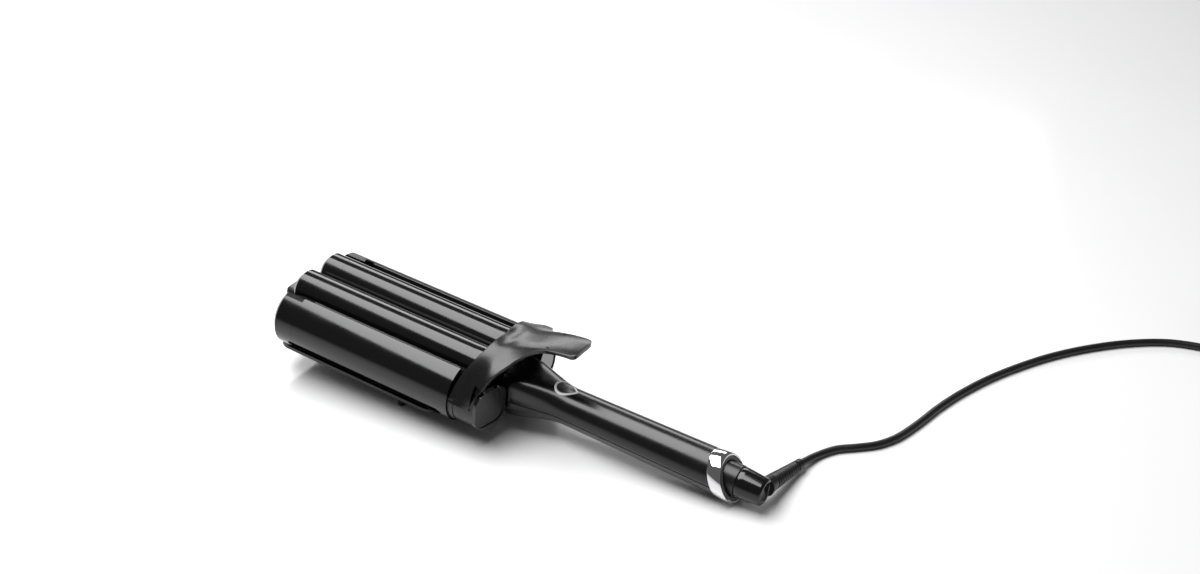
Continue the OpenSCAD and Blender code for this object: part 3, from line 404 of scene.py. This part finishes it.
def rows(rings, closed=True, caps=True, loop=False):
    """Points and faces of a surface through rings of equal length."""
    n, m = len(rings), len(rings[0])
    points = [p for ring in rings for p in ring]
    faces = []
    for i in range(n if loop else n - 1):
        for k in range(m if closed else m - 1):
            a, b = i * m + k, i * m + (k + 1) % m
            c, d = ((i + 1) % n) * m + (k + 1) % m, ((i + 1) % n) * m + k
            faces.append((a, b, c, d))
    if caps and not loop:
        faces += [tuple(range(m))[::-1], tuple((n - 1) * m + k for k in range(m))]
    return points, faces


def mix(a, b, k):
    return a + (b - a) * k


def table(pairs, x):
    """Smooth value at x between the pairs of a short table."""
    if x <= pairs[0][0]:
        return pairs[0][1]
    for i in range(len(pairs) - 1):
        (x0, y0), (x1, y1) = pairs[i], pairs[i + 1]
        if x <= x1:
            before, after = pairs[max(i - 1, 0)], pairs[min(i + 2, len(pairs) - 1)]
            m0 = (y1 - before[1]) / (x1 - before[0])
            m1 = (after[1] - y0) / (after[0] - x0)
            h = x1 - x0
            t = (x - x0) / h
            return ((2 * t ** 3 - 3 * t * t + 1) * y0 + (t ** 3 - 2 * t * t + t) * h * m0
                    + (3 * t * t - 2 * t ** 3) * y1 + (t ** 3 - t * t) * h * m1)
    return pairs[-1][1]


# The end collar's faces are oblique: its lower edge lies further back than its top
TILT = 0.44
COLLAR_REAR, COLLAR_LEN, COLLAR_R = 1.4, 9.2, 14.6
NECK_REAR, NECK_FRONT = 118, 162.4
SEAM_Z = -2.5


RING_STEPS, SOLID_STEPS = 160, 128


def turned(name, outline, body, nodes, look, slot):
    """A ring turned about the axis. Its outline is in radius, station and share of the tilt."""
    rings = []
    for i in range(RING_STEPS):
        a = 2 * math.pi * i / RING_STEPS
        y, z = math.sin(a), math.cos(a)
        rings.append([(s + TILT * r * z * k, r * y, r * z) for r, s, k in outline])
    sculpt(name, *rows(rings, loop=True), body, nodes, look, slot)


def solid_turned(name, outline, body, nodes, look, slot):
    """A solid turned about the axis, from one flat end to the other."""
    turns = [2 * math.pi * i / SOLID_STEPS for i in range(SOLID_STEPS)]
    rings = [[(s, r * math.sin(a), r * math.cos(a)) for a in turns] for r, s in outline]
    sculpt(name, *rows(rings), body, nodes, look, slot)


def make_collar():
    c0, c1 = COLLAR_REAR, COLLAR_REAR + COLLAR_LEN
    turned("end_band", [
        (13.1, c0 + 0.1, 1), (13.3, c0, 1), (14.15, c0, 1), (14.45, c0 + 0.12, 1),
        (COLLAR_R, c0 + 0.45, 1), (COLLAR_R, c1 - 0.35, 1), (14.45, c1 - 0.05, 1),
        (14.2, c1, 1), (13.1, c1, 1),
    ], "handle_and_lower_jaw", ["end_collar"], chrome, "collar_metal")
    turned("band_lining", [
        (10.55, c0 + 1.0, 1), (10.75, c0 + 0.55, 1), (11.3, c0 + 0.35, 1),
        (12.7, c0 + 0.35, 1), (13.0, c0 + 0.5, 1), (13.0, 13.7, 0), (10.55, 13.7, 0),
    ], "handle_and_lower_jaw", ["collar_bush"], grey, "grey_plastic")


def make_swivel():
    solid_turned("swivel_stub", [
        (8.0, -3.6), (10.0, -3.6), (10.15, -3.5), (10.4, -3.2), (10.4, 13.6),
        (11.6, 13.7), (11.6, 15.7), (10.2, 15.9), (4.2, 15.9),
    ], "swivel", ["swivel_shaft"], satin, "satin_black")
    solid_turned("swivel_elbow", [
        (1.2, -20.35), (5.6, -20.35), (5.9, -20.6), (6.2, -20.9), (7.1, -21.2),
        (7.9, -21.1), (8.5, -20.7), (8.85, -20.0), (8.95, -19.2), (10.0, -7),
        (10.25, -4.2), (10.15, -4.0), (9.9, -3.9), (8.0, -3.9),
    ], "swivel", ["swivel_housing"], gloss, "gloss_black")


def resample(points, step):
    """The same line with points at an even distance."""
    out, left = [points[0].copy()], step
    for a, b in zip(points, points[1:]):
        d = (b - a).length
        while left <= d:
            out.append(a.lerp(b, left / d))
            left += step
        left -= d
    return out


RELIEF_SLEEVE = 44
RELIEF_ROOT = 7.2
SLEEVE_STEP = 0.35
SLEEVE_SIDES = 40
ROOT_R, TIP_R = 5.9, 3.7
PLAIN_END = 6.5
RIB_PITCH, RIB_DEPTH = 2.95, 1.15


def make_relief():
    """The ribbed sleeve, swept along the start of the cord."""
    start = relief_point(RELIEF_ROOT)
    reach = RELIEF_START + RELIEF_LEN + 2
    path = resample([start, relief_point(reach - 0.5), *line[1:60]], SLEEVE_STEP)
    count = int(RELIEF_SLEEVE / SLEEVE_STEP)
    rings = []
    for i in range(count + 1):
        t = i * SLEEVE_STEP
        p, q = path[i], path[i + 1]
        along = (q - p).normalized()
        side = along.cross(Vector((0, 0, 1))).normalized()
        top = side.cross(along)
        r = mix(ROOT_R, TIP_R, min(1, t / (RELIEF_SLEEVE - 6)))
        if PLAIN_END < t < RELIEF_SLEEVE - PLAIN_END:
            phase = ((t - PLAIN_END) / RIB_PITCH) % 1
            groove = min(1, max(0, (phase - 0.12) / 0.7))
            r -= RIB_DEPTH * (0.5 - 0.5 * math.cos(2 * math.pi * groove))
        if t < 1.0:
            r += 0.5 * (1 - t)
        if t > RELIEF_SLEEVE - 1.2:
            r -= 0.9 * (t - RELIEF_SLEEVE + 1.2) / 1.2
        ring = []
        for k in range(SLEEVE_SIDES):
            a = 2 * math.pi * k / SLEEVE_SIDES
            ring.append(p + r * (math.cos(a) * side + math.sin(a) * top))
        rings.append(ring)
    points, faces = rows(rings)
    sleeve = mesh_object("cord_sleeve", [floor_point(*p) for p in points], faces)
    soften(sleeve, 50)
    sleeve.data.materials.append(rubber)
    hand_over(sleeve, "swivel", ["strain_relief"])


# ---- handle shells
GRIP_R, GRIP_TAPER = 14, 1.5
NECK_WIDE, NECK_TOP, NECK_BOTTOM = 18.2, 15.4, 16.4
SHELL_WALL, SEAM_BEVEL = 2.5, 0.35
SHELL_REAR = COLLAR_REAR + COLLAR_LEN + 0.1


def signed_power(v, p):
    return math.copysign(abs(v) ** p, v)


def flare(s):
    k = min(1, max(0, (s - NECK_REAR) / (NECK_FRONT - 3 - NECK_REAR)))
    return k * k * (3 - 2 * k)


def grip_radius(s):
    return GRIP_R - GRIP_TAPER * min(1, (s - 10.2) / (NECK_REAR - 10.2))


def handle_point(s, a, inset=0.0):
    """A point of the handle's skin: round in the grip, squarer and wider in the neck."""
    k = flare(s)
    r = grip_radius(s)
    p = 2 / mix(2, 4, k)
    c, h = signed_power(math.cos(a), p), signed_power(math.sin(a), p)
    wide = mix(r, NECK_WIDE, k ** 1.3) - inset
    tall = (mix(r, NECK_TOP, k) if h > 0 else mix(r, NECK_BOTTOM, k ** 1.6)) - inset
    return wide * c, tall * h


def seam_angle(s, z, inset):
    """Angle at which the skin reaches a height on its near half."""
    low, high = -math.pi / 2, math.pi / 4
    for _ in range(40):
        mid = (low + high) / 2
        if handle_point(s, mid, inset)[1] < z:
            low = mid
        else:
            high = mid
    return low


def shell_ring(s, upper):
    """One closed outline of a shell: outer skin, then inner skin back."""
    edge = SEAM_Z + (0.06 if upper else -0.06)
    lip = SEAM_BEVEL if upper else -SEAM_BEVEL
    a_edge, a_lip = seam_angle(s, edge, SEAM_BEVEL), seam_angle(s, edge + lip, 0)
    a_in = seam_angle(s, edge, SHELL_WALL)
    if upper:
        outer = [mix(a_lip, math.pi - a_lip, i / 60) for i in range(61)]
        inner = [mix(math.pi - a_in, a_in, i / 40) for i in range(41)]
        first, last = a_edge, math.pi - a_edge
    else:
        outer = [mix(a_lip, -math.pi - a_lip, i / 60) for i in range(61)]
        inner = [mix(-math.pi - a_in, a_in, i / 40) for i in range(41)]
        first, last = a_edge, -math.pi - a_edge
    ring = [handle_point(s, first, SEAM_BEVEL)]
    ring += [handle_point(s, a) for a in outer]
    ring += [handle_point(s, last, SEAM_BEVEL)]
    ring += [handle_point(s, a, SHELL_WALL) for a in inner]
    lean = TILT * max(0, 1 - (s - SHELL_REAR) / 30)
    return [(s + lean * z, y, z) for y, z in ring]


def make_handle():
    stations = [SHELL_REAR + (NECK_REAR - SHELL_REAR) * i / 24 for i in range(24)]
    stations += [NECK_REAR + (NECK_FRONT - NECK_REAR) * i / 26 for i in range(27)]
    top = sculpt("grip_top", *rows([shell_ring(s, True) for s in stations]), "handle_and_lower_jaw",
                 ["upper_handle_shell"], handle_finish, "satin_black", crease=45)
    sculpt("grip_bottom", *rows([shell_ring(s, False) for s in stations]), "handle_and_lower_jaw",
           ["lower_handle_shell"], handle_finish, "satin_black", crease=45)
    return top


# ---- power button: an egg-shaped key in a white ring
BUTTON_S = 123.4
EGG_LONG, EGG_WIDE, EGG_STEPS = 8.4, 6.5, 72
KEY_GAP = 0.12


def egg(grow):
    """Outline round the button, blunt towards the tip and narrower towards the collar."""
    out = []
    for i in range(EGG_STEPS):
        a = 2 * math.pi * i / EGG_STEPS
        c, h = math.cos(a), math.sin(a)
        s = EGG_LONG * c
        y = EGG_WIDE * h * (1 + 0.42 * c - 0.16 * c * c)
        n = Vector((EGG_WIDE * c, EGG_LONG * h)).normalized() * grow
        out.append((BUTTON_S + s + n.x, y + n.y))
    return out


def skin_height(s, y):
    """Height of the handle's upper skin at a station and side distance."""
    k = flare(s)
    r = grip_radius(s)
    p = 2 / mix(2, 4, k)
    wide, tall = mix(r, NECK_WIDE, k ** 1.3), mix(r, NECK_TOP, k)
    c = min(1, abs(y) / wide) ** (1 / p)
    return tall * math.sqrt(max(0, 1 - c * c)) ** p


def egg_prism(name, grow, low, high):
    """An upright tool through the handle's top, with the button's outline."""
    points, faces = rows([[(s, y, z) for s, y in egg(grow)] for z in (low, high)])
    return mesh_object(name, [at_rest(*p) for p in points], faces)


def skin_ring(grow, lift):
    """The button's outline, laid on the handle's skin and lifted."""
    return [(s, y, skin_height(s, y) + lift) for s, y in egg(grow)]


def make_button(top_shell):
    boolean(top_shell, egg_prism("cutter", KEY_GAP, 8.5, 25), "DIFFERENCE")
    ring_section = ((0, -2.6), (0, 0.1), (-0.25, 0.32), (-0.8, 0.4), (-1.35, 0.32),
                    (-1.6, 0.1), (-1.6, -2.6))
    rings = [skin_ring(grow, lift) for grow, lift in ring_section]
    points, faces = rows(rings, loop=True)
    sculpt("key_ring", points, faces, "handle_and_lower_jaw", ["button_ring"], white,
           "white_ring")
    rings = [skin_ring(grow, lift) for grow, lift in ((-1.78, -2.4), (-1.78, 0.05), (-2.1, 0.25))]
    edge = egg(-2.1)
    for share in (0.75, 0.5, 0.25, 0.03):
        dip = 0.25 - 0.45 * (1 - share * share)
        inner = [(mix(BUTTON_S, s, share), y * share) for s, y in edge]
        rings.append([(s, y, skin_height(s, y) + dip) for s, y in inner])
    points, faces = rows(rings)
    sculpt("key_cap", points, faces, "button", ["power_button"], satin, "satin_black")


# ---- thumb lever: a thin saddle from the arch's legs to the tab
# Side distance and height of the lever's top, at its front and at its rear
CROWN = [
    (0, 36.2), (7, 36), (14, 34.6), (20, 32.2), (26, 28.4), (31, 23.6), (35, 18.6),
    (39, 13.2), (43, 7.4), (46.2, 1.4),
]
BULGE = [
    (0, 36.4), (7, 36.2), (14, 35), (20, 33.2), (26, 31), (32, 28), (37.5, 22.5),
    (41.5, 16.8), (44.6, 10.6), (46.6, 1.4),
]
# Station and how far the tab rises there
TAB_RISE = [
    (113, 11.6), (120, 11.2), (130, 9.6), (140, 7.0), (150, 3.7), (158, 1.4),
    (166, 0.2), (172, 0.0), (190, 0.0),
]
# Share of the way from the middle to the leg's end, station and side distance
REAR_EDGE = [
    (0.0, 113.6, 0.0), (0.1, 113.7, 7.5), (0.14, 114.6, 10.4), (0.18, 117.5, 11.8),
    (0.30, 128, 12.1), (0.42, 138.5, 12.8), (0.50, 145.5, 15.8), (0.57, 150.6, 21),
    (0.66, 155, 29.5), (0.76, 159.6, 37.8), (0.88, 162.4, 43.4), (1.0, 163.8, 46.6),
]
FRONT_EDGE = [
    (0.0, 171.6, 0.0), (0.2, 172, 9), (0.45, 173.8, 21), (0.62, 177, 29),
    (0.78, 180.6, 35.5), (0.9, 182.6, 41.3), (1.0, 183.6, 46.2),
]
LEVER_T, LEVER_ROUND = 3.2, 0.7


def lever_surface(s, y):
    """Height of the lever's top at a station and side distance."""
    far = abs(y)
    k = min(1, max(0, (s - 160) / 18))
    k = k * k * (3 - 2 * k)
    z = mix(table(BULGE, far), table(CROWN, far), k)
    fade = min(1, max(0, (27 - far) / 16))
    z += table(TAB_RISE, s) * fade * fade * (3 - 2 * fade)
    dish = ((s - 168) / 7.5) ** 2 + (far / 15.5) ** 2
    if dish < 1:
        z -= 1.0 * (1 - dish) ** 1.5
    return z


def edge_point(edge, v):
    """Station and side distance on an edge of the lever."""
    return table([(p[0], p[1]) for p in edge], v), table([(p[0], p[2]) for p in edge], v)


def lever_grid():
    """Rows over the half lever, from the rear edge round to the front edge."""
    grid = []
    for i in range(41):
        v = i / 40
        rear, front = edge_point(REAR_EDGE, v), edge_point(FRONT_EDGE, v)
        strip = []
        for j in range(33):
            u = j / 32
            s = mix(rear[0], front[0], u)
            y = mix(rear[1], front[1], u ** (1.0 + 0.6 * (1 - v)))
            strip.append((s, y, lever_surface(s, y)))
        grid.append(strip)
    return grid


def smooth_edges(obj, thick, width):
    """Gives a surface its wall and rounds the wall's edges."""
    wall = obj.modifiers.new("wall", "SOLIDIFY")
    wall.thickness, wall.offset = thick * MM, -1
    edge = obj.modifiers.new("edge", "BEVEL")
    edge.width, edge.segments, edge.limit_method = width * MM, 3, "ANGLE"
    edge.angle_limit = math.radians(50)
    bake(obj)
    soften(obj, 60)


HINGE_S, HINGE_Z = 167, 4
CLEAR_R, EAR_R = 13.4, 12.9


def hinge_sector(name, radius, first, last, y0, y1):
    """A slice of a cylinder round the hinge axis, on both sides, between two angles."""
    outline = [(HINGE_S, HINGE_Z)]
    for i in range(41):
        a = math.radians(mix(first, last, i / 40))
        outline.append((HINGE_S + radius * math.cos(a), HINGE_Z + radius * math.sin(a)))
    points, faces = [], []
    for m in (-1, 1):
        part, sides = rows([[(s, m * y, z) for s, z in outline] for y in (y0, y1)])
        faces += [tuple(i + len(points) for i in face) for face in sides]
        points += part
    return mesh_object(name, [at_rest(*p) for p in points], faces)


def lever_mesh(name):
    """The whole lever, without the clearance round the hinge."""
    half = lever_grid()
    full = [[(s, -y, z) for s, y, z in strip] for strip in half[:0:-1]] + half
    points, faces = rows(full, closed=False, caps=False)
    obj = mesh_object(name, [at_rest(*p) for p in points], faces, upward=True)
    obj.data.materials.append(lever_finish)
    smooth_edges(obj, LEVER_T, LEVER_ROUND)
    return obj


def make_lever():
    lever = lever_mesh("saddle_lever")
    boolean(lever, hinge_sector("sector", CLEAR_R, 88, 275, 20, 52), "DIFFERENCE")
    hand_over(lever, "upper_jaw", ["thumb_lever"])
    # These fill part of the clearance in the lever's legs and are no piece of the real waver
    ears = lever_mesh("yoke_ears")
    boolean(ears, hinge_sector("sector", EAR_R, 108, 200, 30, 52), "INTERSECT")
    hand_over(ears, "handle_and_lower_jaw", [])


def make_ridge_heels():
    """The closed rear ends of the two ridges, under the lever's crown."""
    points, faces = [], []
    for m in (-1, 1):
        rings = []
        for s, r in ((184.45, 12.9), (178, 12.9), (176.4, 12.7), (175.4, 12.1), (175.0, 11.2)):
            low = math.asin(1.2 / r)
            ring = []
            for i in range(49):
                a = mix(low, math.pi - low, i / 48)
                ring.append((s, m * 13.5 + r * math.cos(a), 13.3 + r * math.sin(a)))
            rings.append(ring)
        part, sides = rows(rings)
        faces += [tuple(i + len(points) for i in face) for face in sides]
        points += part
    sculpt("ridge_heels", points, faces, "upper_jaw", [], gloss, "gloss_black")


make_collar()
make_swivel()
make_relief()
make_button(make_handle())
make_lever()
make_ridge_heels()


# ------------------------------------------------------------------ floor and light
def make_stage():
    bpy.ops.mesh.primitive_plane_add(size=12, location=(0, 0, 0))
    ground = bpy.context.object
    ground.name = "ground"
    mat, tree, shader = material("ground_white")
    pale = ramp(tree, noise(tree, 3, 2), ((0.86, 0.86, 0.865), (0.88, 0.88, 0.88)))
    tree.links.new(pale, shader.inputs["Base Color"])
    shader.inputs["Roughness"].default_value = 0.12
    shader.inputs["Specular IOR Level"].default_value = 0.4
    ground.data.materials.append(mat)


def area_light(name, place, aim, size, energy):
    data = bpy.data.lights.new(name, "AREA")
    data.shape = "RECTANGLE"
    data.size, data.size_y = size
    data.energy = energy
    obj = link(bpy.data.objects.new(name, data))
    obj.location = place
    obj.rotation_mode = "QUATERNION"
    obj.rotation_quaternion = (Vector(aim) - Vector(place)).to_track_quat("-Z", "Y")
    return obj


def make_world():
    world = bpy.data.worlds.new("studio")
    bpy.context.scene.world = world
    world.use_nodes = True
    tree = world.node_tree
    back = tree.nodes["Background"]
    out = tree.nodes["World Output"]
    back.inputs["Color"].default_value = (1, 1, 1, 1)
    back.inputs["Strength"].default_value = 0.12
    seen = add(tree, "ShaderNodeBackground")
    seen.inputs["Color"].default_value = (0.985, 0.985, 0.985, 1)
    seen.inputs["Strength"].default_value = 1.0
    rays = add(tree, "ShaderNodeLightPath")
    mix = add(tree, "ShaderNodeMixShader")
    tree.links.new(rays.outputs["Is Camera Ray"], mix.inputs["Fac"])
    tree.links.new(back.outputs["Background"], mix.inputs[1])
    tree.links.new(seen.outputs["Background"], mix.inputs[2])
    tree.links.new(mix.outputs["Shader"], out.inputs["Surface"])


make_stage()
make_world()
area_light("overhead", (-0.35, -0.1, 1.3), (-0.05, 0.0, 0.0), (1.3, 1.0), 30)
area_light("back", (-0.9, 1.5, 0.9), (0.0, 0.0, 0.0), (1.6, 0.5), 12)

scene = bpy.context.scene
scene.view_settings.view_transform = "Standard"
